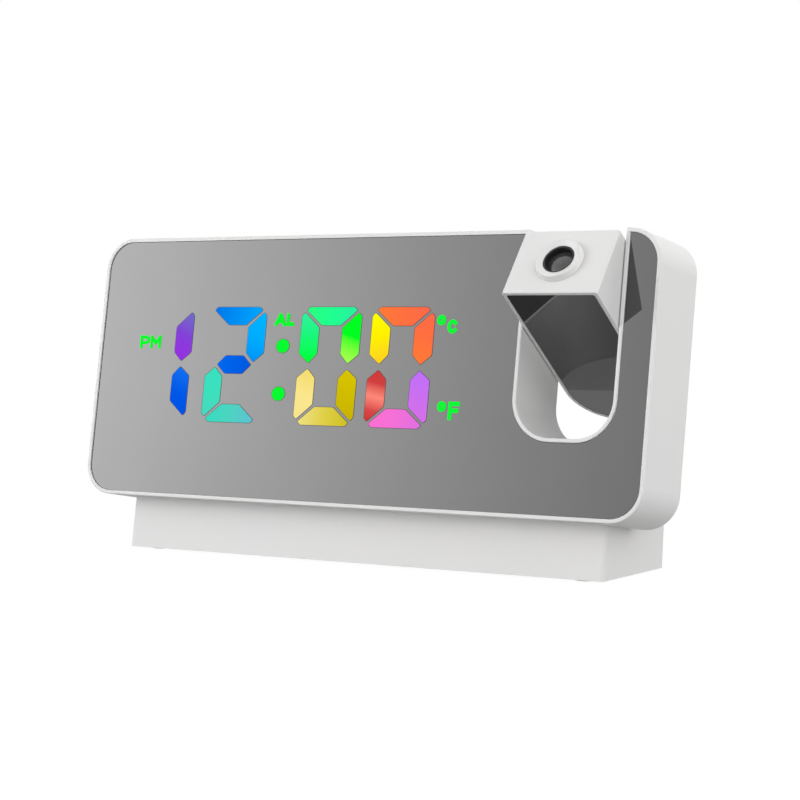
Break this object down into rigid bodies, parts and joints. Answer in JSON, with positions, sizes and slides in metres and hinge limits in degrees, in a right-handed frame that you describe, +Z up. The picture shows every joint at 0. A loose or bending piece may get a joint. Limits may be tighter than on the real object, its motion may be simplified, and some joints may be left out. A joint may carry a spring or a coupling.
{
  "type": "projection alarm clock",
  "caption": "Slim desk clock: leaning mirrored face with a digital display on a low wedge stand, and a tilting projector arm in a U-shaped slot through its right end.",
  "frame": {"origin": "on the table under the middle of the clock with the arm as it stands at rest", "axes": "+X to the clock's right along its length as seen from the front, +Y to the back, +Z up; the display faces -Y"},
  "size_m": [0.187, 0.057, 0.0928],
  "materials": {
    "white_plastic": "smooth white ABS with a fine satin grain",
    "face_mirror": "grey half-mirror coating on the back of clear acrylic",
    "tinted_film": "dark printed film with clear windows",
    "light_box_plastic": "white reflector moulding",
    "diffuser": "milky light-spreading resin",
    "circuit_board": "green solder mask on glass-fibre board",
    "lamp_resin": "pale yellow lamp resin",
    "black_plastic": "black moulded plastic",
    "plated_steel": "zinc-plated steel",
    "bush_plastic": "natural acetal",
    "foot_rubber": "milky white silicone rubber",
    "lead_sleeve": "soft PVC sleeve",
    "lens_glass": "clear polished lens",
    "slide_glass": "dark liquid-crystal slide",
    "display_light": "lit display sign behind the half-mirror"
  },
  "bodies": {
    "clock_body": {"board_link": "black_plastic", "buzzer": "black_plastic", "cell_contact": "plated_steel", "cell_lead": "lead_sleeve", "coin_cell": "plated_steel", "coin_cell_door": "white_plastic", "coin_cell_door_screw": "plated_steel", "coin_cell_holder": "black_plastic", "controller_chip": "black_plastic", "display_board": "circuit_board", "display_board_screws": "plated_steel", "display_film": "tinted_film", "display_lamps": "lamp_resin", "front_housing": "white_plastic", "key_board": "circuit_board", "key_board_screws": "plated_steel", "key_switches": "black_plastic", "lead_connector": "black_plastic", "light_box": "light_box_plastic", "mirror_panel": "face_mirror", "pivot_bushes": "bush_plastic", "power_socket": "plated_steel", "projector_lead": "lead_sleeve", "rear_cover": "white_plastic", "rear_cover_screws": "plated_steel", "rubber_feet": "foot_rubber", "segment_diffusers": "diffuser", "snooze_switch": "black_plastic", "stand_cover": "white_plastic", "stand_cover_screws": "plated_steel", "stand_screws": "plated_steel", "stand_shell": "white_plastic"},
    "projector_arm": {"arm_shell": "white_plastic", "arm_mirror": "face_mirror", "arm_back_cover": "white_plastic", "arm_screws": "plated_steel", "pivot_tube": "plated_steel", "pivot_pin": "plated_steel", "retaining_clips": "plated_steel", "friction_washers": "bush_plastic", "lamp_house": "black_plastic", "condenser_lens": "lens_glass", "lcd_slide": "slide_glass", "projector_led": "lamp_resin", "led_board": "circuit_board", "arm_lead": "lead_sleeve"},
    "focus_ring": {"focus_ring": "white_plastic"},
    "lens": {"lens_cell": "black_plastic", "projection_lens": "lens_glass"},
    "snooze_bar": {"snooze_bar": "white_plastic"},
    "set_key": {"set_key": "white_plastic"},
    "alarm_key": {"alarm_key": "white_plastic"},
    "up_key": {"up_key": "white_plastic"},
    "down_key": {"down_key": "white_plastic"},
    "projector_key": {"projector_key": "white_plastic"}
  },
  "joints": [
    {"name": "arm_tilt", "type": "hinge", "parent": "clock_body", "child": "projector_arm", "pos_m": [0.06817, -0.00505, 0.07044], "axis": [1, 0, 0], "range_deg": [-151.3, 28.7]},
    {"name": "focus_turn", "type": "hinge", "parent": "projector_arm", "child": "focus_ring", "pos_m": [0.06817, -0.00505, 0.07044], "axis": [0, -0.7832, 0.6218], "range_deg": [-150, 150]},
    {"name": "lens_focus", "type": "slide", "parent": "projector_arm", "child": "lens", "axis": [0, -0.7832, 0.6218], "range_m": [-0.001, 0.001]},
    {"name": "snooze_press", "type": "slide", "parent": "clock_body", "child": "snooze_bar", "axis": [0, -0.1693, -0.9856], "range_m": [0, 0.0005], "stiffness_N_per_m": 600, "springref_m": -0.0004},
    {"name": "set_press", "type": "slide", "parent": "clock_body", "child": "set_key", "axis": [0, -0.9856, 0.1693], "range_m": [0, 0.0005], "stiffness_N_per_m": 400, "springref_m": -0.0002},
    {"name": "alarm_press", "type": "slide", "parent": "clock_body", "child": "alarm_key", "axis": [0, -0.9856, 0.1693], "range_m": [0, 0.0005], "stiffness_N_per_m": 400, "springref_m": -0.0002},
    {"name": "up_press", "type": "slide", "parent": "clock_body", "child": "up_key", "axis": [0, -0.9856, 0.1693], "range_m": [0, 0.0005], "stiffness_N_per_m": 400, "springref_m": -0.0002},
    {"name": "down_press", "type": "slide", "parent": "clock_body", "child": "down_key", "axis": [0, -0.9856, 0.1693], "range_m": [0, 0.0005], "stiffness_N_per_m": 400, "springref_m": -0.0002},
    {"name": "projector_press", "type": "slide", "parent": "clock_body", "child": "projector_key", "axis": [0, -0.9856, 0.1693], "range_m": [0, 0.0005], "stiffness_N_per_m": 400, "springref_m": -0.0002}
  ],
  "couplings": [
    {"joint": "focus_turn", "follows": "lens_focus", "rad_per_m": 2617}
  ]
}
